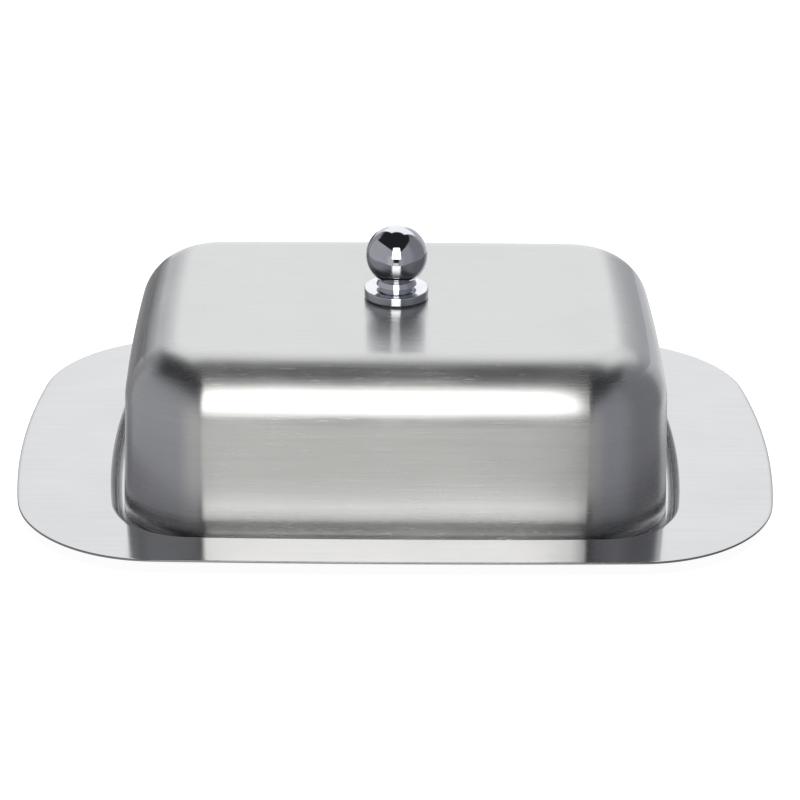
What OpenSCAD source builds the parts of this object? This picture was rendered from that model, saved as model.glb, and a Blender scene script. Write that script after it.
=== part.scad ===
// Butter dish: a pressed sheet-metal tray with a sunken well, and a deep-drawn lid that stands
// in the well and lifts straight off by a screwed-on ball knob.
// Millimetres, +Z up. The origin is the middle of the tray's underside, where the dish rests.

/* [Tray] */
// Length of the tray over its rim
tray_l = 200; // [195:1:215]
// Width of the tray over its rim
tray_w = 140; // [136:1:150]
// Radius of the tray's four corners
tray_corner_r = 38; // [30:1:45]
// Radius of the bowed short ends of the tray
tray_end_r = 268; // [200:1:400]
// Thickness of the tray's sheet
tray_t = 0.6; // [0.5:0.05:0.8]

/* [Well] */
// Length of the well where the rim starts to turn down
well_l = 151.5; // [151:0.5:154]
// Width of the well where the rim starts to turn down
well_w = 115.4; // [115:0.2:118]
// Radius of the well's four corners
well_corner_r = 22; // [18:0.5:26]
// Radius of the bowed short ends of the well
well_end_r = 300; // [280:10:400]
// Drop from the top of the rim to the floor of the well
well_d = 3.6; // [3.5:0.1:4.5]
// Radius of the upper surface where the rim turns down into the step
step_r = 1.2; // [1:0.05:1.3]
// Radius of the upper surface where the step runs out into the floor
foot_r = 2; // [1.2:0.1:2.2]
// Slope of the step's wall from the horizontal
step_angle = 76; // [70:1:78]

/* [Lid] */
// Length of the lid at its open edge
lid_l = 142; // [138:0.5:142]
// Width of the lid at its open edge
lid_w = 105.6; // [102:0.2:106]
// Height of the lid's shell
lid_h = 46; // [42:0.5:52]
// Radius of the lid's corners at the open edge
lid_corner_r = 23; // [21:0.5:28]
// Radius of the slightly bowed short ends of the lid
lid_end_r = 1000; // [400:10:2000]
// Radius of the bend between the lid's walls and its top
lid_bend_r = 15.5; // [12:0.5:17]
// Inward lean of the lid's walls
lid_draft = 2; // [1:0.1:3]
// Thickness of the lid's sheet
lid_t = 0.6; // [0.5:0.05:0.8]

/* [Knob] */
// Diameter of the ball
ball_d = 16.1; // [14:0.1:17]
// Height of the ball's middle above the rosette
ball_z = 8.95; // [8.6:0.05:9.2]
// Largest diameter of the tapered collar under the ball
collar_d = 10.7; // [10:0.1:11.5]
// Diameter of the collar where it runs into the ball
collar_top_d = 9.4; // [9:0.1:9.8]
// Height of the collar's widest edge above the rosette
collar_z = 1; // [0.8:0.05:1.2]
// Diameter of the neck that stands on the rosette
neck_d = 9.2; // [8.6:0.1:9.4]
// Diameter of the round rosette
rosette_d = 16.9; // [15:0.1:18]
// Thickness of the rosette
rosette_t = 2.4; // [2:0.1:3]
// Bevel round both edges of the rosette
rosette_bevel = 0.3; // [0.2:0.05:0.4]
// Diameter of the gasket under the rosette
gasket_d = 15.6; // [14:0.1:16.2]
// Thickness of the gasket
gasket_t = 0.4; // [0.3:0.05:0.6]

/* [Fixing] */
// Diameter of the screw's shank
screw_d = 4; // [3:0.5:5]
// Length of the screw under its head
screw_l = 12; // [11:0.5:13]
// Diameter of the screw's head
head_d = 8; // [7:0.1:9]
// Height of the screw's head
head_h = 2.6; // [2.2:0.1:3]
// Width of each arm of the cross recess
recess_w = 1.2; // [0.9:0.1:1.4]
// Length of each arm of the cross recess
recess_l = 4.4; // [4:0.1:5]
// Depth of the cross recess
recess_d = 1.5; // [1.2:0.1:1.6]
// Outer diameter of the spring washer
washer_d = 7.6; // [7.2:0.1:8.5]
// Thickness of the spring washer
washer_t = 0.9; // [0.6:0.1:1.2]
// Width of the slit in the spring washer
washer_slit = 0.8; // [0.5:0.1:1]

/* [Hidden] */

// Radius of the nearly straight long sides of the tray, the well and the lid
side_r = 2700;
// Segments in each bowed side, each corner and each bend of the sheet
side_seg = 6;
corner_seg = 10;
bend_seg = 6;
lid_bend_seg = 10;
// Clearance round the shank: in the threaded hole, and in the loose holes
thread_gap = 0.02;
loose_gap = 0.25;
// How far the threaded hole runs on past the screw's tip
hole_reserve = 1.3;
// How far a cutting tool runs past the face that it cuts
cut = 0.5;

rim_z = tray_t + well_d;
lid_z = tray_t;
lid_top_z = lid_z + lid_h;
gasket_z = lid_top_z;
rosette_z = gasket_z + gasket_t;
knob_z = rosette_z + rosette_t;
ceiling_z = lid_top_z - lid_t;
washer_z = ceiling_z - washer_t;
head_z = washer_z - head_h;
screw_tip_z = washer_z + screw_l;
loose_r = screw_d / 2 + loose_gap;
thread_r = screw_d / 2 + thread_gap;

// The step between the rim and the floor: height of its straight wall, and its width in plan
step_wall = (well_d - (step_r + foot_r) * (1 - cos(step_angle))) / sin(step_angle);
step_w = (step_r + foot_r) * sin(step_angle) + step_wall * cos(step_angle);

// Middle of the lid's bend, measured inward from the open edge and up from it
lid_bend_z = lid_h - lid_bend_r;
lid_bend_u = lid_bend_r * cos(lid_draft) + (lid_bend_z + lid_bend_r * sin(lid_draft)) * tan(lid_draft);

// ---- plan outlines: four shallow side arcs joined by four tangent corner arcs ----

// Middle of the corner arc in the first quadrant, where the two side arcs carry it
function corner_mid(length, width, end_r, corner_r) =
    let (
        end_mid = [length / 2 - end_r, 0],
        side_mid = [0, width / 2 - side_r],
        from_end = end_r - corner_r,
        from_side = side_r - corner_r,
        span = norm(side_mid - end_mid),
        along = (from_end * from_end - from_side * from_side + span * span) / (2 * span),
        across = sqrt(from_end * from_end - along * along),
        way = (side_mid - end_mid) / span
    )
    end_mid + along * way + across * [-way[1], way[0]];

// Points of an arc, without its last one
function arc_points(mid, r, from, to, segments) =
    [for (i = [0 : segments - 1])
        let (a = from + (to - from) * i / segments)
        mid + r * [cos(a), sin(a)]
    ];

// First quadrant of the outline, moved inward by inset
function quarter_outline(length, width, end_r, corner_r, inset) =
    let (
        mid = corner_mid(length, width, end_r, corner_r),
        end_mid = [length / 2 - end_r, 0],
        side_mid = [0, width / 2 - side_r],
        a1 = atan2(mid[1] - end_mid[1], mid[0] - end_mid[0]),
        a2 = atan2(mid[1] - side_mid[1], mid[0] - side_mid[0])
    )
    concat(
        arc_points(end_mid, end_r - inset, 0, a1, side_seg),
        arc_points(mid, corner_r - inset, a1, a2, corner_seg),
        arc_points(side_mid, side_r - inset, a2, 90, side_seg)
    );

// The whole outline, anticlockwise from the middle of the +X end
function outline(length, width, end_r, corner_r, inset) =
    let (
        q = quarter_outline(length, width, end_r, corner_r, inset),
        last = len(q) - 1,
        top = [0, width / 2 - inset],
        side = [length / 2 - inset, 0]
    )
    concat(
        q,
        [top],
        [for (i = [last : -1 : 1]) [-q[i][0], q[i][1]]],
        [-side],
        [for (i = [1 : last]) -q[i]],
        [-top],
        [for (i = [last : -1 : 1]) [q[i][0], -q[i][1]]]
    );

function tray_ring(z) =
    [for (p = outline(tray_l, tray_w, tray_end_r, tray_corner_r, 0)) [p[0], p[1], z]];

function well_ring(inset, z) =
    [for (p = outline(well_l, well_w, well_end_r, well_corner_r, inset)) [p[0], p[1], z]];

function lid_ring(inset, z) =
    [for (p = outline(lid_l, lid_w, lid_end_r, lid_corner_r, inset)) [p[0], p[1], lid_z + z]];

// ---- skins: rings of equal length stacked into one closed solid ----

module skin(rings) {
    count = len(rings[0]);
    last = len(rings) - 1;
    points = [for (ring = rings) for (p = ring) p];
    first_cap = [for (i = [0 : count - 1]) i];
    last_cap = [for (i = [count - 1 : -1 : 0]) last * count + i];
    sides = [
        for (k = [0 : last - 1])
            for (i = [0 : count - 1])
                let (j = (i + 1) % count)
                [k * count + i, (k + 1) * count + i, (k + 1) * count + j, k * count + j]
    ];
    polyhedron(points, concat([first_cap], sides, [last_cap]));
}

// Upper bend of the step, from the rim down to the wall, on a surface of radius r
function upper_bend(r) =
    [for (i = [0 : bend_seg])
        let (a = step_angle * i / bend_seg)
        well_ring(r * sin(a), rim_z - step_r + r * cos(a))
    ];

// Lower bend of the step, from the wall down to the floor, on a surface of radius r
function lower_bend(r) =
    [for (i = [0 : bend_seg])
        let (a = step_angle * (1 - i / bend_seg))
        well_ring(step_w - r * sin(a), tray_t + foot_r - r * cos(a))
    ];

// The lid's wall and bend on a surface that lies depth inside the outer one
function lid_rings(depth) =
    concat(
        [lid_ring(depth / cos(lid_draft), 0)],
        [for (i = [0 : lid_bend_seg])
            let (
                a = lid_draft + (90 - lid_draft) * i / lid_bend_seg,
                r = lid_bend_r - depth
            )
            lid_ring(lid_bend_u - r * cos(a), lid_bend_z + r * sin(a))
        ]
    );

function reverse(list) = [for (i = [len(list) - 1 : -1 : 0]) list[i]];

// A straight round hole on the knob's axis
module axis_hole(r, z_low, z_high) {
    translate([0, 0, z_low])
        cylinder(r = r, h = z_high - z_low, $fn = 48);
}

// ---- pieces ----

module tray() {
    color("gainsboro")
        skin(concat(
            reverse(lower_bend(foot_r)),
            reverse(upper_bend(step_r)),
            [tray_ring(rim_z)],
            [tray_ring(rim_z - tray_t)],
            upper_bend(step_r - tray_t),
            lower_bend(foot_r + tray_t)
        ));
}

module lid_shell() {
    color("silver")
        difference() {
            skin(concat(reverse(lid_rings(lid_t)), lid_rings(0)));
            axis_hole(loose_r, ceiling_z - cut, lid_top_z + cut);
        }
}

module knob_ball() {
    mid_z = knob_z + ball_z;
    ball_r = ball_d / 2;
    // height at which the collar's slanting side meets the ball
    meet_z = ball_z - sqrt(ball_r * ball_r - collar_top_d * collar_top_d / 4);
    collar_chamfer = (collar_d - neck_d) / 4;
    color("lightgrey")
        difference() {
            union() {
                translate([0, 0, mid_z])
                    sphere(r = ball_r, $fn = 96);
                translate([0, 0, knob_z])
                    rotate_extrude($fn = 96)
                        polygon([
                            [0, 0],
                            [neck_d / 2, 0],
                            [neck_d / 2, collar_z - collar_chamfer],
                            [collar_d / 2, collar_z],
                            [collar_top_d / 2, meet_z],
                            [0, ball_z]
                        ]);
            }
            axis_hole(thread_r, knob_z - cut, screw_tip_z + hole_reserve);
        }
}

module knob_rosette() {
    r = rosette_d / 2;
    color("lightgrey")
        difference() {
            translate([0, 0, rosette_z])
                rotate_extrude($fn = 96)
                    polygon([
                        [0, 0],
                        [r - rosette_bevel, 0],
                        [r, rosette_bevel],
                        [r, rosette_t - rosette_bevel],
                        [r - rosette_bevel, rosette_t],
                        [0, rosette_t]
                    ]);
            axis_hole(loose_r, rosette_z - cut, rosette_z + rosette_t + cut);
        }
}

module knob_gasket() {
    color("dimgray")
        difference() {
            axis_hole(gasket_d / 2, gasket_z, gasket_z + gasket_t);
            axis_hole(loose_r, gasket_z - cut, gasket_z + gasket_t + cut);
        }
}

module spring_washer() {
    color("darkgray")
        difference() {
            axis_hole(washer_d / 2, washer_z, washer_z + washer_t);
            axis_hole(loose_r, washer_z - cut, washer_z + washer_t + cut);
            translate([0, -washer_slit / 2, washer_z - cut])
                cube([washer_d, washer_slit, washer_t + 2 * cut]);
        }
}

module knob_screw() {
    head_edge = head_h / 2;
    color("darkgray")
        difference() {
            union() {
                axis_hole(screw_d / 2, washer_z, screw_tip_z);
                translate([0, 0, head_z])
                    rotate_extrude($fn = 64)
                        polygon([
                            [0, 0],
                            [head_d / 2 - head_edge / 2, 0],
                            [head_d / 2, head_edge],
                            [head_d / 2, head_h],
                            [0, head_h]
                        ]);
            }
            for (turn = [0, 90])
                rotate([0, 0, turn])
                    translate([-recess_l / 2, -recess_w / 2, head_z - cut])
                        cube([recess_l, recess_w, recess_d + cut]);
        }
}

tray();
lid_shell();
knob_ball();
knob_rosette();
knob_gasket();
spring_washer();
knob_screw();
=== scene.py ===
# Butter dish of polished and satin stainless steel, on a pale floor in a soft studio.
# Lengths named in millimetres are turned into metres where meshes are made.
from math import asin, atan2, cos, hypot, pi, radians, sin, sqrt, tan

import bmesh
import bpy
import numpy as np
from mathutils import Matrix, Vector


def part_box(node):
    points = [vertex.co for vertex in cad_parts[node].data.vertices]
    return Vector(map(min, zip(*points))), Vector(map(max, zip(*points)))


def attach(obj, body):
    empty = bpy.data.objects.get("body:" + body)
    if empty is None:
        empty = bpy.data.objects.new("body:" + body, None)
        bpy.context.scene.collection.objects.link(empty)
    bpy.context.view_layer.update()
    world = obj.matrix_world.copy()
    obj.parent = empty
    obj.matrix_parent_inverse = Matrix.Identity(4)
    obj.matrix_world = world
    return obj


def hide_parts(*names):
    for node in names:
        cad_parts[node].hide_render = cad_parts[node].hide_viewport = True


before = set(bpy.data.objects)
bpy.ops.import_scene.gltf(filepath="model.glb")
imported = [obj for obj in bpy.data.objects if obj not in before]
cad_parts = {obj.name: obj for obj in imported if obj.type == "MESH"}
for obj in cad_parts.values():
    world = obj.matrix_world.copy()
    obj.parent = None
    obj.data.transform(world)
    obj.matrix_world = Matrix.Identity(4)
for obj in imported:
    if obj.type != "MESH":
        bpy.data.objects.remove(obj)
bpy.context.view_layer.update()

MM = 0.001
MICRON = 1e-6


# ---------------------------------------------------------------- sizes, in millimetres

def node_box(node):
    """Lowest and highest corner of a CAD node, in millimetres."""
    low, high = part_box(node)
    return low / MM, high / MM


TRAY_LOW, TRAY_HIGH = node_box("tray")
LID_LOW, LID_HIGH = node_box("lid_shell")
BALL_LOW, BALL_HIGH = node_box("knob_ball")
ROSETTE_LOW, ROSETTE_HIGH = node_box("knob_rosette")
GASKET_LOW, GASKET_HIGH = node_box("knob_gasket")
WASHER_LOW, WASHER_HIGH = node_box("spring_washer")
SCREW_LOW, SCREW_HIGH = node_box("knob_screw")

# Plan outlines: length, width, radius of the bowed ends, radius of the corners
SIDE_R = 2700.0
TRAY_PLAN = (TRAY_HIGH.x - TRAY_LOW.x, TRAY_HIGH.y - TRAY_LOW.y, 268.0, 38.0)
WELL_PLAN = (151.5, 115.4, 300.0, 22.0)
LID_PLAN = (LID_HIGH.x - LID_LOW.x, LID_HIGH.y - LID_LOW.y, 1000.0, 23.0)

SHEET_T = 0.6
EDGE_R = 0.2        # round of the sheets' cut edges
STEP_R = 1.2        # upper surface, where the rim turns down into the well
FOOT_R = 2.0        # upper surface, where the step runs out into the well's floor
STEP_ANGLE = radians(76)
RIM_Z = TRAY_HIGH.z
LID_BEND_R = 15.5
LID_DRAFT = radians(2)
HOLE_R = 2.25       # screw hole in the lid, the rosette, the gasket and the washer

# Points along the outlines and the bends
SIDE_SEG = 14
CORNER_SEG = 36
LID_BEND_SEG = 32
LID_WALL_SEG = 8
STEP_BEND_SEG = 8
KNOB_SEG = 160

# Edges steeper than this stay crisp in the shading
CRISP = radians(40)


# ---------------------------------------------------------------- plan outlines

def corner_middle(length, width, end_r, corner_r):
    """Middle of the corner arc that is tangent to an end arc and to a side arc."""
    end_mid = np.array([length / 2 - end_r, 0.0])
    side_mid = np.array([0.0, width / 2 - SIDE_R])
    from_end = end_r - corner_r
    from_side = SIDE_R - corner_r
    way = side_mid - end_mid
    span = np.hypot(*way)
    way /= span
    along = (from_end ** 2 - from_side ** 2 + span ** 2) / (2 * span)
    across = sqrt(from_end ** 2 - along ** 2)
    return end_mid + along * way + across * np.array([-way[1], way[0]])


def arc(middle, radius, start, stop, segments):
    """Points of an arc, without its last one."""
    angles = np.linspace(start, stop, segments, endpoint=False)
    return middle + radius * np.column_stack([np.cos(angles), np.sin(angles)])


def outline(plan, inset):
    """Closed outline moved inward by inset, anticlockwise from the middle of the -Y side."""
    length, width, end_r, corner_r = plan
    middle = corner_middle(*plan)
    end_mid = np.array([length / 2 - end_r, 0.0])
    side_mid = np.array([0.0, width / 2 - SIDE_R])
    a1 = atan2(*(middle - end_mid)[::-1])
    a2 = atan2(*(middle - side_mid)[::-1])
    quarter = np.vstack([
        arc(end_mid, end_r - inset, 0, a1, SIDE_SEG),
        arc(middle, corner_r - inset, a1, a2, CORNER_SEG),
        arc(side_mid, SIDE_R - inset, a2, pi / 2, SIDE_SEG),
    ])
    second = quarter[:0:-1] * [-1, 1]
    top = np.array([[0.0, width / 2 - inset]])
    end = np.array([[length / 2 - inset, 0.0]])
    ring = np.vstack([quarter, top, second, -end, -quarter[1:], -top, -second])
    first = len(ring) * 3 // 4
    return np.roll(ring, -first, axis=0)


def lift(points, z):
    """Plan points at height z."""
    return np.column_stack([points, np.full(len(points), z)])


def toward_circle(ring, radius, share):
    """A flat ring part of the way from a ring to the circle of that radius about the axis."""
    plan = ring[:, :2]
    circle = plan / np.hypot(*plan.T)[:, None] * radius
    return np.column_stack([plan * (1 - share) + circle * share, ring[:, 2]])


# ---------------------------------------------------------------- meshes

def finish_mesh(piece, material, body, stands_for):
    """Gives a piece its material and its body, and hides the CAD nodes that it stands for."""
    piece.data.materials.append(material)
    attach(piece, body)
    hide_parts(*stands_for)
    return piece


def object_from(name, vertices, faces):
    """A smooth-shaded object from vertices in millimetres."""
    mesh = bpy.data.meshes.new(name)
    mesh.from_pydata((np.asarray(vertices) * MM).tolist(), [], faces)
    mesh.validate()
    mesh.shade_smooth()
    piece = bpy.data.objects.new(name, mesh)
    bpy.context.scene.collection.objects.link(piece)
    return piece


def ring_faces(n_rings, count, closed):
    """Quads between neighbouring rings; a closed stack also joins the last ring to the first."""
    faces = []
    for k in range(n_rings if closed else n_rings - 1):
        a = k * count
        b = (k + 1) % n_rings * count
        for i in range(count):
            j = (i + 1) % count
            faces.append((a + i, b + i, b + j, a + j))
    return faces


def add_grain(piece, rings, straight_rings, cut_rings):
    """Stores how the sheet is brushed and where it is cut.

    The grain runs along X on the straight rings and round the piece on the others. The UV map
    has U across the grain and V along it. The attribute grain is a point in millimetres: two
    coordinates along the grain, which close into a circle where it runs round, and one across.
    The attribute cut is 1 on the sheet's cut edge.
    """
    count = len(rings[0])
    longest = max(rings, key=lambda r: np.abs(r[:, 0]).max())
    steps = np.hypot(*(np.roll(longest, -1, axis=0) - longest)[:, :2].T)
    round_way = np.concatenate([[0], np.cumsum(steps)])
    lap = round_way[-1]
    middle = count // 8
    depth = [0.0]
    for before, after in zip(rings, rings[1:]):
        depth.append(depth[-1] + np.linalg.norm(after[middle] - before[middle]))

    mesh = piece.data
    mesh.uv_layers.new(name="brushing")
    mesh.attributes.new("grain", "FLOAT_VECTOR", "CORNER")
    mesh.attributes.new("cut", "FLOAT", "CORNER")
    uv = mesh.uv_layers["brushing"].data
    grain = mesh.attributes["grain"].data
    cut = mesh.attributes["cut"].data
    for face in mesh.polygons:
        members = [mesh.loops[i].vertex_index for i in face.loop_indices]
        ring_numbers = [v // count for v in members]
        straight = all(k in straight_rings for k in ring_numbers)
        is_cut = all(k in cut_rings for k in ring_numbers)
        wraps = {v % count for v in members} == {0, count - 1}
        for i, v, k in zip(face.loop_indices, members, ring_numbers):
            cut[i].value = float(is_cut)
            x, y, _ = mesh.vertices[v].co / MM
            if straight or k >= len(depth):
                uv[i].uv = (y, x)
                grain[i].vector = (x, 0, y)
                continue
            s = lap if wraps and v % count == 0 else round_way[v % count]
            turn = 2 * pi * s / lap
            uv[i].uv = (depth[k], s)
            grain[i].vector = (lap / (2 * pi) * cos(turn), lap / (2 * pi) * sin(turn), depth[k])


def rounded_edge(outer, inner, side, steps=4):
    """Profile points round the cut edge of a sheet, from its outer face to its inner one.

    outer and inner are profile points (inset, height) on the two faces at the edge, and side
    is the direction in which the sheet ends.
    """
    outer, inner, side = (np.array(p, float) for p in (outer, inner, side))
    across = (inner - outer) / np.linalg.norm(inner - outer)
    points = []
    for corner, start in ((outer, across), (inner, -across)):
        middle = corner + (start - side) * EDGE_R
        turn = [middle - start * EDGE_R * cos(a) + side * EDGE_R * sin(a)
                for a in np.linspace(0, pi / 2, steps)]
        points += turn if corner is outer else turn[::-1]
    return points


def lathe(name, profile, segments=128, start=0.0, stop=2 * pi):
    """Revolves a profile of (radius, height) in millimetres about the axis.

    A profile that starts and ends on the axis gives a solid; one off the axis is closed into a
    ring. With start and stop less than a turn apart, the two open ends are capped.
    """
    on_axis = profile[0][0] == 0
    whole = abs(stop - start - 2 * pi) < 1e-9
    body = profile[1:-1] if on_axis else profile
    angles = np.linspace(start, stop, segments, endpoint=not whole)
    rings = [[(r * cos(a), r * sin(a), z) for a in angles] for r, z in body]
    vertices = [p for ring in rings for p in ring]
    count = len(angles)
    faces = []
    for k in range(len(body) - 1 if on_axis else len(body)):
        a = k * count
        b = (k + 1) % len(body) * count
        for i in range(count if whole else count - 1):
            j = (i + 1) % count
            faces.append((a + i, b + i, b + j, a + j))
    if on_axis:
        for pole, base in ((profile[0], 0), (profile[-1], (len(body) - 1) * count)):
            vertices.append((0, 0, pole[1]))
            tip = len(vertices) - 1
            for i in range(count):
                pair = (base + i, base + (i + 1) % count)
                faces.append((tip, *pair) if base == 0 else (tip, *pair[::-1]))
    if not whole:
        faces.append(tuple(k * count for k in range(len(body))))
        faces.append(tuple((k + 1) * count - 1 for k in reversed(range(len(body)))))
    piece = object_from(name, vertices, faces)
    make_outward(piece)
    return piece


def make_outward(piece):
    """Turns all faces outward."""
    bm = bmesh.new()
    bm.from_mesh(piece.data)
    bmesh.ops.recalc_face_normals(bm, faces=bm.faces)
    bm.to_mesh(piece.data)
    bm.free()


def sharpen(piece, angle):
    """Keeps edges steeper than angle crisp in the shading."""
    bm = bmesh.new()
    bm.from_mesh(piece.data)
    for edge in bm.edges:
        if len(edge.link_faces) == 2 and edge.calc_face_angle(0) > angle:
            edge.smooth = False
    bm.to_mesh(piece.data)
    bm.free()


# ---------------------------------------------------------------- node helpers

class Graph:
    """Short calls for building a node tree."""

    def __init__(self, tree):
        self.tree = tree
        tree.nodes.clear()

    def node(self, kind, **settings):
        """A new node with those settings."""
        made = self.tree.nodes.new(kind)
        for key, value in settings.items():
            setattr(made, key, value)
        return made

    def link(self, source, target):
        """Joins an output to an input."""
        self.tree.links.new(source, target)

    def put(self, socket, value):
        """Links a socket to another, or sets its value."""
        if isinstance(value, bpy.types.NodeSocket):
            self.link(value, socket)
        else:
            socket.default_value = value

    def math(self, operation, *values):
        """Result of a Math node, such as "ADD" or "MULTIPLY"."""
        made = self.node("ShaderNodeMath", operation=operation)
        for socket, value in zip(made.inputs, values):
            self.put(socket, value)
        return made.outputs[0]

    def remap(self, value, low, high, to_low=0.0, to_high=1.0, smooth=True):
        """Value moved from the range low..high to to_low..to_high and kept inside it."""
        made = self.node("ShaderNodeMapRange")
        made.interpolation_type = "SMOOTHSTEP" if smooth else "LINEAR"
        for name, number in (("Value", value), ("From Min", low), ("From Max", high),
                             ("To Min", to_low), ("To Max", to_high)):
            self.put(made.inputs[name], number)
        return made.outputs["Result"]

    def mix_colour(self, factor, first, second):
        """first where factor is 0, second where it is 1."""
        made = self.node("ShaderNodeMix", data_type="RGBA")
        for key, value in (("Factor_Float", factor), ("A_Color", first), ("B_Color", second)):
            socket = next(s for s in made.inputs if s.identifier == key)
            self.put(socket, value)
        return next(s for s in made.outputs if s.identifier == "Result_Color")

    def scaled(self, vector, scale):
        """A vector with each coordinate multiplied by its own scale."""
        made = self.node("ShaderNodeMapping")
        self.put(made.inputs["Vector"], vector)
        made.inputs["Scale"].default_value = scale
        return made.outputs["Vector"]

    def noise(self, vector, scale, detail=2.0, roughness=0.5, distortion=0.0):
        """Soft noise between 0 and 1."""
        made = self.node("ShaderNodeTexNoise")
        self.put(made.inputs["Vector"], vector)
        made.inputs["Scale"].default_value = scale
        made.inputs["Detail"].default_value = detail
        made.inputs["Roughness"].default_value = roughness
        made.inputs["Distortion"].default_value = distortion
        return made.outputs["Fac"]

    def streaks(self, grain, length, width, detail, roughness, distortion=0.0):
        """Noise drawn out along the grain; length and width are in millimetres."""
        drawn = self.scaled(grain, (1 / length, 1 / length, 1 / width))
        return self.noise(drawn, 1.0, detail, roughness, distortion)

    def attribute(self, name):
        """A vector stored on the mesh."""
        return self.node("ShaderNodeAttribute", attribute_name=name).outputs["Vector"]

    def object_mm(self):
        """Object coordinates in millimetres."""
        coords = self.node("ShaderNodeTexCoord").outputs["Object"]
        return self.scaled(coords, (1 / MM,) * 3)

    def bump(self, height, distance, strength=1.0, normal=None):
        """A normal tilted by a height from 0 to 1 that stands for distance, in metres."""
        made = self.node("ShaderNodeBump")
        made.inputs["Strength"].default_value = strength
        made.inputs["Distance"].default_value = distance
        self.put(made.inputs["Height"], height)
        if normal is not None:
            self.link(normal, made.inputs["Normal"])
        return made.outputs["Normal"]


def shade(colour, share):
    """A colour made darker or brighter, as RGBA."""
    return [c * share for c in colour] + [1]


def new_material(name):
    """A material, its graph and its Principled shader, already linked to the output."""
    material = bpy.data.materials.new(name)
    material.use_nodes = True
    graph = Graph(material.node_tree)
    shader = graph.node("ShaderNodeBsdfPrincipled")
    output = graph.node("ShaderNodeOutputMaterial")
    graph.link(shader.outputs["BSDF"], output.inputs["Surface"])
    return material, graph, shader


# ---------------------------------------------------------------- materials

def brushed_steel(name, colour, roughness, anisotropy, line_depth, smear, dent, painted_edge_light):
    """Sheet steel with a fine grain, a few longer scratches, faint smears and shallow dents.

    colour is the steel's reflectance, roughness its mean gloss, line_depth the height of the
    grain in micrometres, smear how much handling dulls it, dent the height in micrometres of
    the sheet's waviness. The last argument scales the colour of its cut edge as painted light:
    below 1 it paints a dark line of shade there, above 1 a bright line of highlight.
    """
    material, g, shader = new_material(name)
    grain = g.attribute("grain")
    place = g.object_mm()
    fine = g.streaks(grain, 30, 0.16, 3.0, 0.65)
    broad = g.streaks(grain, 42, 0.8, 2.0, 0.6)
    scratch = g.remap(g.streaks(grain, 8, 0.3, 1.0, 0.5, distortion=0.3), 0.66, 0.76)
    cloud = g.noise(place, 1 / 26, 3.0, 0.55)
    lines = g.math("ADD", g.math("MULTIPLY", fine, 0.5), g.math("MULTIPLY", broad, 0.5))

    tone = g.remap(lines, 0.3, 0.7, -0.04, 0.04)
    tone = g.math("ADD", tone, g.remap(cloud, 0.3, 0.7, -0.02, 0.02))
    tone = g.math("ADD", tone, g.math("MULTIPLY", scratch, 0.04))
    tone = g.remap(tone, -0.08, 0.08, smooth=False)
    face = g.mix_colour(tone, shade(colour, 0.92), shade(colour, 1.08))
    # The cut edge's colour is painted light: a factor under 1 paints shade along it, one over 1
    # paints a highlight.
    cut = g.node("ShaderNodeAttribute", attribute_name="cut").outputs["Fac"]
    g.put(shader.inputs["Base Color"], g.mix_colour(cut, face, shade(colour, painted_edge_light)))

    rough = g.math("ADD", roughness, g.remap(lines, 0.3, 0.7, -0.02, 0.02, smooth=False))
    rough = g.math("ADD", rough, g.remap(cloud, 0.35, 0.75, 0.0, smear))
    rough = g.math("ADD", rough, g.math("MULTIPLY", scratch, 0.05))
    rough = g.math("ADD", rough, g.math("MULTIPLY", cut, 0.15))
    g.put(shader.inputs["Roughness"], rough)

    waves = g.bump(g.noise(place, 1 / 24, 1.5, 0.4), dent * MICRON)
    height = g.math("SUBTRACT", lines, g.math("MULTIPLY", scratch, 0.5))
    g.put(shader.inputs["Normal"], g.bump(height, line_depth * MICRON, normal=waves))
    tangent = g.node("ShaderNodeTangent", direction_type="UV_MAP", uv_map="brushing")
    g.put(shader.inputs["Tangent"], tangent.outputs["Tangent"])
    shader.inputs["Metallic"].default_value = 1.0
    shader.inputs["Anisotropic"].default_value = anisotropy
    return material


def chrome(name, colour):
    """Polished plating with hairline wiping marks and a trace of orange peel."""
    material, g, shader = new_material(name)
    place = g.object_mm()
    peel = g.noise(place, 0.9, 2.0, 0.5)
    hair = g.noise(g.scaled(place, (1.5, 1.5, 14)), 1.0, 3.0, 0.6, 0.4)
    film = g.noise(place, 0.25, 3.0, 0.6)
    tone = g.mix_colour(g.remap(film, 0.35, 0.7), shade(colour, 1.02), shade(colour, 0.96))
    g.put(shader.inputs["Base Color"], tone)
    filmed = g.remap(film, 0.35, 0.75, 0.035, 0.07)
    wiped = g.remap(hair, 0.55, 0.8, 0.0, 0.05)
    g.put(shader.inputs["Roughness"], g.math("ADD", filmed, wiped))
    height = g.math("ADD", peel, g.math("MULTIPLY", hair, 0.15))
    g.put(shader.inputs["Normal"], g.bump(height, 0.25 * MICRON))
    shader.inputs["Metallic"].default_value = 1.0
    return material


def silicone(name, colour):
    """Matt rubber with a fine moulded grain."""
    material, g, shader = new_material(name)
    place = g.object_mm()
    pores = g.noise(place, 3.0, 3.0, 0.6)
    tone = g.mix_colour(pores, shade(colour, 0.8), shade(colour, 1.3))
    g.put(shader.inputs["Base Color"], tone)
    g.put(shader.inputs["Roughness"], g.remap(pores, 0.3, 0.7, 0.5, 0.7))
    g.put(shader.inputs["Normal"], g.bump(pores, 20 * MICRON))
    return material


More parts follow.
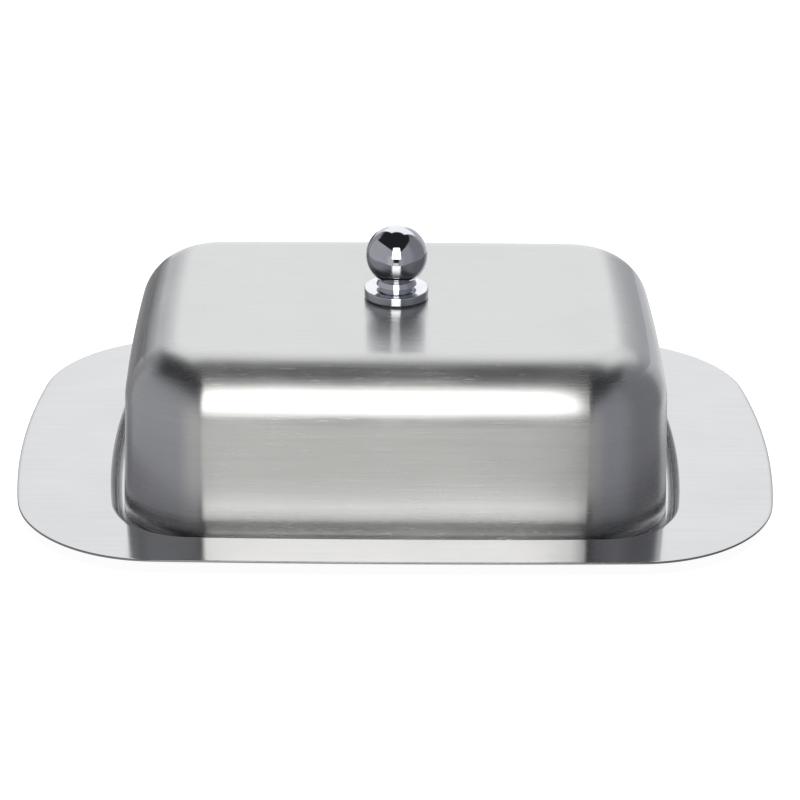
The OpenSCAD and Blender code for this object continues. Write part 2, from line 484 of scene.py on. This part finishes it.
def turned_steel(name, colour):
    """Plain fastener steel with turning marks round the axis."""
    material, g, shader = new_material(name)
    place = g.object_mm()
    split = g.node("ShaderNodeSeparateXYZ")
    g.put(split.inputs[0], place)
    x, y, z = split.outputs
    radius = g.math("SQRT", g.math("ADD", g.math("MULTIPLY", x, x), g.math("MULTIPLY", y, y)))
    rings = g.node("ShaderNodeCombineXYZ")
    g.put(rings.inputs[0], radius)
    g.put(rings.inputs[1], z)
    marks = g.noise(rings.outputs[0], 6.0, 3.0, 0.6)
    grime = g.noise(place, 0.6, 3.0, 0.6)
    tone = g.mix_colour(grime, shade(colour, 0.8), shade(colour, 1.08))
    g.put(shader.inputs["Base Color"], tone)
    g.put(shader.inputs["Roughness"], g.remap(marks, 0.3, 0.7, 0.22, 0.38))
    g.put(shader.inputs["Normal"], g.bump(marks, 4 * MICRON))
    shader.inputs["Metallic"].default_value = 1.0
    return material


def floor_paint(name, colour, glow):
    """Pale matt table that glows a little, with the faintest mottle."""
    material, g, shader = new_material(name)
    mottle = g.noise(g.object_mm(), 1 / 60, 3.0, 0.5)
    tone = g.mix_colour(mottle, shade(colour, 0.99), shade(colour, 1.01))
    g.put(shader.inputs["Base Color"], tone)
    g.put(shader.inputs["Roughness"], g.remap(mottle, 0.3, 0.7, 0.75, 0.85))
    shader.inputs["Specular IOR Level"].default_value = 0.2
    shader.inputs["Emission Color"].default_value = (1, 1, 1, 1)
    shader.inputs["Emission Strength"].default_value = glow
    return material


# ---------------------------------------------------------------- pieces

def tray_profile():
    """Rings of the tray's two faces, from the middle of the well out and back underneath.

    Also gives the numbers of the rings on its cut edge.
    """
    bends = STEP_R + FOOT_R
    wall = (RIM_Z - SHEET_T - bends * (1 - cos(STEP_ANGLE))) / sin(STEP_ANGLE)
    step_w = bends * sin(STEP_ANGLE) + wall * cos(STEP_ANGLE)
    bend = np.linspace(0, STEP_ANGLE, STEP_BEND_SEG + 1)

    def lower(r):
        return [lift(outline(WELL_PLAN, step_w - r * sin(a)), SHEET_T + FOOT_R - r * cos(a))
                for a in bend]

    def upper(r):
        return [lift(outline(WELL_PLAN, r * sin(a)), RIM_Z - STEP_R + r * cos(a))
                for a in bend[::-1]]

    def centre(ring):
        return [toward_circle(ring, 1.0, s) for s in (1.0, 0.9, 0.7, 0.5, 0.3, 0.15, 0.06, 0.02)]

    def rim(z, shares):
        inner = outline(WELL_PLAN, 0)
        outer = outline(TRAY_PLAN, EDGE_R)
        return [lift(inner * (1 - s) + outer * s, z) for s in shares]

    low, high = lower(FOOT_R), upper(STEP_R)
    low_under, high_under = lower(FOOT_R + SHEET_T), upper(STEP_R - SHEET_T)
    shares = (0.03, 0.12, 0.3, 0.5, 0.7, 0.88, 0.97)
    edge = rounded_edge((0, RIM_Z), (0, RIM_Z - SHEET_T), (-1, 0))
    over = centre(low[0]) + low + high + rim(RIM_Z, shares)
    edge_rings = [lift(outline(TRAY_PLAN, u), z) for u, z in edge]
    under = (rim(RIM_Z - SHEET_T, shares[::-1]) + high_under[::-1] + low_under[::-1]
             + centre(low_under[0])[::-1])
    cut_rings = set(range(len(over), len(over) + len(edge_rings)))
    return over + edge_rings + under, cut_rings


def make_tray(material):
    """The pressed tray, as rings over its upper face, round its rim and back underneath."""
    rings, cut_rings = tray_profile()
    count = len(rings[0])
    vertices = np.vstack(rings + [[[0, 0, SHEET_T]], [[0, 0, 0]]])
    faces = ring_faces(len(rings), count, closed=False)
    last = (len(rings) - 1) * count
    top, bottom = len(vertices) - 2, len(vertices) - 1
    for i in range(count):
        j = (i + 1) % count
        faces.append((top, i, j))
        faces.append((bottom, last + j, last + i))
    piece = object_from("tray_sheet", vertices, faces)
    make_outward(piece)
    add_grain(piece, rings, set(range(len(rings) + 1)), cut_rings)
    return finish_mesh(piece, material, "tray", ["tray"])


def lid_profile():
    """Rings of the lid, from its hole over the outside to the open edge and back inside.

    Also gives the numbers of the rings that are brushed straight, which are those of the flat
    top, the upper half of the bend and the ceiling, and of those on its cut edge.
    """
    height = LID_HIGH.z - LID_LOW.z
    bend_z = height - LID_BEND_R
    bend_u = LID_BEND_R * cos(LID_DRAFT) + (bend_z + LID_BEND_R * sin(LID_DRAFT)) * tan(LID_DRAFT)
    angles = np.linspace(pi / 2, LID_DRAFT, LID_BEND_SEG + 1)
    wall_heights = np.linspace(1, 0.0, LID_WALL_SEG + 1)[1:-1]

    def face(depth):
        r = LID_BEND_R - depth
        bend = [(bend_u - r * cos(a), bend_z + r * sin(a)) for a in angles]
        foot = (depth / cos(LID_DRAFT), 0.0)
        u, z = bend[-1]
        wall = [(foot[0] + (u - foot[0]) * h, foot[1] + (z - foot[1]) * h) for h in wall_heights]
        return bend + wall, foot

    outer, outer_foot = face(0)
    inner, inner_foot = face(SHEET_T)
    down = (-sin(LID_DRAFT), -cos(LID_DRAFT))
    edge = rounded_edge(outer_foot, inner_foot, down)
    profile = outer + edge + inner[::-1]
    walls = [lift(outline(LID_PLAN, u), LID_LOW.z + max(z, 0)) for u, z in profile]
    shares = (1.0, 0.97, 0.9, 0.75, 0.6, 0.45, 0.3, 0.18, 0.08, 0.02)
    top = [toward_circle(walls[0], HOLE_R, s) for s in shares]
    ceiling = [toward_circle(walls[-1], HOLE_R, s) for s in shares[::-1]]
    rings = top + walls + ceiling
    flat = len(top) + LID_BEND_SEG // 2 + 1
    straight = set(range(flat)) | set(range(len(rings) - flat, len(rings)))
    cut_start = len(top) + len(outer)
    return rings, straight, set(range(cut_start, cut_start + len(edge)))


def make_lid(material):
    """The drawn lid, as rings over its outside, round its open edge and back inside."""
    rings, straight_rings, cut_rings = lid_profile()
    faces = ring_faces(len(rings), len(rings[0]), closed=True)
    piece = object_from("lid_cover", np.vstack(rings), faces)
    make_outward(piece)
    add_grain(piece, rings, straight_rings, cut_rings)
    return finish_mesh(piece, material, "lid", ["lid_shell"])


def fillet(before, corner, after, radius, steps=5):
    """Points of a round of that radius at a profile's corner."""
    before, corner, after = (np.array(p, float) for p in (before, corner, after))
    one = (before - corner) / np.linalg.norm(before - corner)
    two = (after - corner) / np.linalg.norm(after - corner)
    half = np.arccos(np.clip(one @ two, -1, 1)) / 2
    reach = radius / tan(half)
    middle = corner + (one + two) / np.linalg.norm(one + two) * radius / sin(half)
    start = corner + one * reach - middle
    stop = corner + two * reach - middle
    angle = np.arccos(np.clip(start @ stop / radius ** 2, -1, 1))
    points = []
    for k in range(steps + 1):
        s = k / steps
        mixed = (start * sin((1 - s) * angle) + stop * sin(s * angle)) / sin(angle)
        points.append(tuple(middle + mixed))
    return points


def make_ball(material):
    """Ball, tapered collar and neck in one turned piece, with the screw's blind hole."""
    radius = (BALL_HIGH.x - BALL_LOW.x) / 2
    centre_z = BALL_HIGH.z - radius
    low = BALL_LOW.z
    collar_r, collar_top_r, neck_r, collar_z, bevel = 5.35, 4.7, 4.6, 1.0, 0.375
    bore_r, bore_top = 2.02, SCREW_HIGH.z + 1.3
    meet = asin(collar_top_r / radius)
    meet_z = centre_z - radius * cos(meet)
    ball = [(radius * sin(a), centre_z + radius * cos(a)) for a in np.linspace(0, pi - meet, 72)]
    neck = (neck_r, low + collar_z - bevel)
    widest = (collar_r, low + collar_z)
    foot = (neck_r, low)
    profile = ball[:-1]
    profile += fillet(ball[-3], (collar_top_r, meet_z), widest, 0.2)
    profile += fillet((collar_top_r, meet_z), widest, neck, 0.12)
    profile += [neck, foot, (bore_r, low), (bore_r, bore_top), (0, bore_top)]
    piece = lathe("ball_knob", profile, segments=KNOB_SEG)
    sharpen(piece, radians(32))
    return finish_mesh(piece, material, "lid", ["knob_ball"])


def ring_profile(outer_r, inner_r, low, high, rounding):
    """Closed profile of a flat ring whose outer edges are rounded."""
    foot, head = (outer_r, low), (outer_r, high)
    return ([(inner_r, low)] + fillet((inner_r, low), foot, head, rounding)
            + fillet(foot, head, (inner_r, high), rounding) + [(inner_r, high)])


def make_rosette(material):
    """The round plate under the ball."""
    radius = (ROSETTE_HIGH.x - ROSETTE_LOW.x) / 2
    profile = ring_profile(radius, HOLE_R, ROSETTE_LOW.z, ROSETTE_HIGH.z, rounding=0.35)
    piece = lathe("rosette", profile, segments=KNOB_SEG)
    sharpen(piece, CRISP)
    return finish_mesh(piece, material, "lid", ["knob_rosette"])


def make_gasket(material):
    """The thin ring between the rosette and the lid."""
    radius = (GASKET_HIGH.x - GASKET_LOW.x) / 2
    profile = ring_profile(radius, HOLE_R, GASKET_LOW.z, GASKET_HIGH.z, rounding=0.15)
    piece = lathe("gasket_ring", profile)
    sharpen(piece, CRISP)
    return finish_mesh(piece, material, "lid", ["knob_gasket"])


def make_washer(material):
    """Split spring washer, tightened flat."""
    radius = (WASHER_HIGH.x - WASHER_LOW.x) / 2
    half_slit = radians(7)
    profile = ring_profile(radius, HOLE_R, WASHER_LOW.z, WASHER_HIGH.z, rounding=0.12)
    piece = lathe("lock_ring", profile, 96, start=half_slit, stop=2 * pi - half_slit)
    sharpen(piece, CRISP)
    return finish_mesh(piece, material, "lid", ["spring_washer"])


def make_screw(material):
    """Pan-head screw with a cross recess and a rolled thread."""
    head_r = (SCREW_HIGH.x - SCREW_LOW.x) / 2
    head_top = WASHER_LOW.z
    crown_r, crown_drop, crown_angle = 0.84 * head_r, 0.22, 0.5
    crown = [(crown_r * sin(a) / sin(crown_angle),
              SCREW_LOW.z + crown_drop * (1 - cos(a)) / (1 - cos(crown_angle)))
             for a in np.linspace(0, crown_angle, 8)]
    side = fillet(crown[-1], (head_r, SCREW_LOW.z + 1.1), (head_r, head_top), 0.5)
    profile = crown + side + [(head_r, head_top - 0.1), (head_r - 0.1, head_top), (2.0, head_top)]
    pitch, crest, root = 0.7, 2.0, 1.66
    thread_low, tip = head_top + 0.4, SCREW_HIGH.z
    rings = 8 * int((tip - thread_low) / pitch)
    profile += [(crest, thread_low)]
    profile += [(crest, z) for z in np.linspace(thread_low, tip - 0.5, rings)]
    profile += [(root, tip), (0, tip)]
    piece = lathe("pan_screw", profile, segments=64)
    for vertex in piece.data.vertices:
        x, y, z = vertex.co / MM
        if thread_low <= z <= tip - 0.5 and hypot(x, y) > 1:
            turn = (z / pitch - atan2(y, x) / (2 * pi)) % 1
            r = root + (crest - root) * min(1, 1.25 * abs(2 * turn - 1))
            vertex.co.x = x / hypot(x, y) * r * MM
            vertex.co.y = y / hypot(x, y) * r * MM
    cut_cross(piece, SCREW_LOW.z)
    sharpen(piece, CRISP)
    return finish_mesh(piece, material, "lid", ["knob_screw"])


def cut_cross(piece, face_z):
    """Cuts a tapered cross recess up into a head whose face is at face_z."""
    wide, deep, arm, narrow = 0.6, 1.5, 2.2, 0.45
    for turn in (0, pi / 2):
        corners = []
        for z, a, w in ((face_z - 0.5, arm, wide), (face_z + deep, arm * 0.45, narrow)):
            corners += [(a, w, z), (-a, w, z), (-a, -w, z), (a, -w, z)]
        faces = [(0, 1, 2, 3), (7, 6, 5, 4), (0, 4, 5, 1), (1, 5, 6, 2), (2, 6, 7, 3), (3, 7, 4, 0)]
        tool = object_from("cutter", corners, faces)
        tool.data.transform(Matrix.Rotation(turn, 4, "Z"))
        make_outward(tool)
        cutter = piece.modifiers.new("recess", "BOOLEAN")
        cutter.object = tool
        cutter.operation = "DIFFERENCE"
        cutter.solver = "EXACT"
        depsgraph = bpy.context.evaluated_depsgraph_get()
        piece.data = bpy.data.meshes.new_from_object(piece.evaluated_get(depsgraph))
        piece.modifiers.clear()
        bpy.data.objects.remove(tool)


# ---------------------------------------------------------------- studio

def make_floor(material):
    """The table, a hair under the tray, so that the two flat faces don't coincide."""
    reach, gap = 6000.0, 0.1
    corners = [(-reach, -reach), (reach, -reach), (reach, reach), (-reach, reach)]
    floor = object_from("floor", [(x, y, -gap) for x, y in corners], [(0, 1, 2, 3)])
    floor.data.materials.append(material)
    floor.visible_glossy = False


def make_world():
    """A dark studio with a pale backdrop behind the dish and a grey panel on each side of it.

    Elevation and azimuth are in degrees. The azimuth called ahead is 0 toward -Y, the one called
    behind is 0 toward +Y, and both grow toward +X.
    """
    world = bpy.data.worlds.new("studio")
    world.use_nodes = True
    bpy.context.scene.world = world
    g = Graph(world.node_tree)
    split = g.node("ShaderNodeSeparateXYZ")
    g.link(g.node("ShaderNodeTexCoord").outputs["Generated"], split.inputs[0])
    x, y, z = split.outputs
    to_degrees = 180 / pi
    elevation = g.math("MULTIPLY", g.math("ARCSINE", z), to_degrees)
    ahead = g.math("MULTIPLY", g.math("ARCTAN2", x, g.math("MULTIPLY", y, -1.0)), to_degrees)
    behind = g.math("MULTIPLY", g.math("ARCTAN2", x, y), to_degrees)

    def patch(turn, left, right, low, high, side_soft, end_soft):
        """1 between the four edges, falling to 0 across them over twice their softness."""
        mask = 1.0
        edges = ((turn, left, side_soft), (right, turn, side_soft),
                 (elevation, low, end_soft), (high, elevation, end_soft))
        for far, near, soft in edges:
            edge = g.remap(g.math("SUBTRACT", far, near), -soft, soft)
            mask = g.math("MULTIPLY", edge, mask)
        return mask

    def slanted(edge, slope, bend):
        """An edge of the backdrop that closes in below the elevation called bend."""
        fall = g.math("MAXIMUM", g.math("SUBTRACT", bend, elevation), 0.0)
        return g.math("ADD", edge, g.math("MULTIPLY", fall, slope))

    def domed(crest, middle, drop):
        """The top edge of a panel ahead, highest at its middle."""
        off = g.math("SUBTRACT", ahead, middle)
        return g.math("SUBTRACT", crest, g.math("MULTIPLY", g.math("MULTIPLY", off, off), drop))

    # The light of each area; in the list below, a later area lies over the earlier ones
    table = (0.32, 0.32, 0.33, 1)
    left_fill, right_fill = (0.36, 0.363, 0.38, 1), (0.42, 0.423, 0.44, 1)
    far_table, backdrop = (0.95, 0.95, 0.95, 1), (1.37, 1.38, 1.4, 1)
    left_foot, right_foot = (0.92, 0.93, 0.95, 1), (0.62, 0.63, 0.66, 1)
    left_panel, right_panel = (0.465, 0.47, 0.505, 1), (0.35, 0.355, 0.395, 1)
    far_right_panel = (0.25, 0.253, 0.28, 1)
    left_spill, right_spill = (0.64, 0.64, 0.65, 1), (0.45, 0.45, 0.46, 1)
    near_table, gap = (0.91, 0.905, 0.88, 1), (0.02, 0.02, 0.02, 1)
    backdrop_left, backdrop_right = slanted(-29, 0.5, 25), slanted(46, -0.7, 22)
    left_top, right_top = domed(43, -62, 0.0045), domed(48, 75, 0.005)
    paints = [
        (patch(behind, -181, 181, -91, -8, 2, 6), table),
        (patch(behind, -60, -31, -10, 36, 5, 6), left_fill),
        (patch(behind, 35, 62, -10, 36, 5, 6), right_fill),
        (patch(behind, -10, 60, -91, -6, 4, 4), far_table),
        (patch(behind, backdrop_left, backdrop_right, -15, 62, 1.5, 3), backdrop),
        (patch(behind, -32, -11, 3, 26, 5, 4), left_foot),
        (patch(behind, 13, 60, -15, 26, 5, 4), right_foot),
        (patch(ahead, -127, -14, -91, left_top, 1.5, 1.5), left_panel),
        (patch(ahead, 14, 126, -91, right_top, 1.5, 1.5), right_panel),
        (patch(ahead, 64, 130, -91, 50, 16, 3), far_right_panel),
        (patch(ahead, -33, -8, -91, 15, 12, 3), left_spill),
        (patch(ahead, 5, 25, -91, 15, 10, 3), right_spill),
        (patch(ahead, -11, 7, -91, -9, 1.2, 2), near_table),
        (patch(ahead, -11, 8, -9, 13, 2, 2), gap),
    ]
    dark_room = (0.022, 0.023, 0.026, 1)
    colour = dark_room
    for mask, light in paints:
        colour = g.mix_colour(mask, colour, light)
    background = g.node("ShaderNodeBackground")
    g.put(background.inputs["Color"], colour)
    output = g.node("ShaderNodeOutputWorld")
    g.link(background.outputs[0], output.inputs["Surface"])


def softbox_cloth(name, edges, fades, light):
    """Glowing cloth between the edges left, right, low and high, fading out over each of them."""
    left, right, low, high = edges
    fade_left, fade_right, fade_low, fade_high = fades
    material = bpy.data.materials.new(name)
    material.use_nodes = True
    g = Graph(material.node_tree)
    split = g.node("ShaderNodeSeparateXYZ")
    g.link(g.object_mm(), split.inputs[0])
    x, _, z = split.outputs
    mask = 1.0
    for far, near, fade in ((x, left, fade_left), (right, x, fade_right),
                            (z, low, fade_low), (high, z, fade_high)):
        mask = g.math("MULTIPLY", g.remap(g.math("SUBTRACT", far, near), -fade, fade), mask)
    glow = g.node("ShaderNodeEmission")
    glow.inputs["Color"].default_value = (1, 0.995, 0.98, 1)
    glow.inputs["Strength"].default_value = light
    mix = g.node("ShaderNodeMixShader")
    g.link(mask, mix.inputs[0])
    g.link(g.node("ShaderNodeBsdfTransparent").outputs[0], mix.inputs[1])
    g.link(glow.outputs[0], mix.inputs[2])
    g.link(mix.outputs[0], g.node("ShaderNodeOutputMaterial").inputs["Surface"])
    return material


def make_softbox():
    """A soft light panel close in front of the dish, seen only by the metal."""
    away = 280.0
    edges = (-88.5, 75.5, 86.0, 365.0)
    fades = (10.0, 5.0, 9.0, 9.0)
    left, right, low, high = edges
    fade_left, fade_right, fade_low, fade_high = fades
    rims = [(left - fade_left, low - fade_low), (right + fade_right, low - fade_low),
            (right + fade_right, high + fade_high), (left - fade_left, high + fade_high)]
    softbox = object_from("softbox", [(x, -away, z) for x, z in rims], [(0, 1, 2, 3)])
    softbox.data.materials.append(softbox_cloth("softbox_cloth", edges, fades, light=3.7))
    softbox.visible_camera = False
    softbox.visible_diffuse = False
    softbox.visible_shadow = False


def make_overhead():
    """A large soft light over the table that the metal doesn't mirror."""
    data = bpy.data.lights.new("overhead", "AREA")
    data.shape = "DISK"
    data.size = 1.6
    data.energy = 26
    lamp = bpy.data.objects.new("overhead", data)
    lamp.location = (0, -0.1, 1.6)
    lamp.visible_glossy = False
    lamp.visible_camera = False
    bpy.context.scene.collection.objects.link(lamp)


def make_camera():
    """The camera stands a little left of the middle and looks down on the long front side."""
    elevation, azimuth, roll = radians(24.2), radians(-0.41), radians(0.51)
    distance = 0.792
    target = Vector((0, 0, 0.0206))
    back = Vector((sin(azimuth) * cos(elevation), -cos(azimuth) * cos(elevation), sin(elevation)))
    data = bpy.data.cameras.new("camera")
    data.sensor_width = 36
    data.lens = 133.4
    data.shift_x = 0.0056
    data.shift_y = -0.0170
    camera = bpy.data.objects.new("camera", data)
    facing = (-back).to_track_quat("-Z", "Y").to_matrix().to_4x4()
    place = Matrix.Translation(target + back * distance)
    camera.matrix_world = place @ facing @ Matrix.Rotation(roll, 4, "Z")
    bpy.context.scene.collection.objects.link(camera)
    bpy.context.scene.camera = camera


# ---------------------------------------------------------------- build

make_camera()
make_world()
make_softbox()
make_overhead()
make_floor(floor_paint("floor_paint", (0.35, 0.35, 0.35), glow=0.9))
# The tray's cut edge is painted darker, as painted shade.
make_tray(brushed_steel(
    "tray_polish", (0.505, 0.505, 0.512), roughness=0.09, anisotropy=0.3,
    line_depth=0.15, smear=0.03, dent=30, painted_edge_light=0.7))
# The lid's cut edge is painted lighter, as a painted highlight.
make_lid(brushed_steel(
    "lid_satin", (0.56, 0.56, 0.555), roughness=0.235, anisotropy=0.92,
    line_depth=0.8, smear=0.03, dent=220, painted_edge_light=1.1))
knob_metal = chrome("knob_chrome", (0.62, 0.63, 0.66))
make_ball(knob_metal)
make_rosette(knob_metal)
make_gasket(silicone("gasket_silicone", (0.035, 0.035, 0.04)))
fastener = turned_steel("fastener_steel", (0.55, 0.55, 0.56))
make_washer(fastener)
make_screw(fastener)
bpy.context.scene.view_settings.view_transform = "Standard"
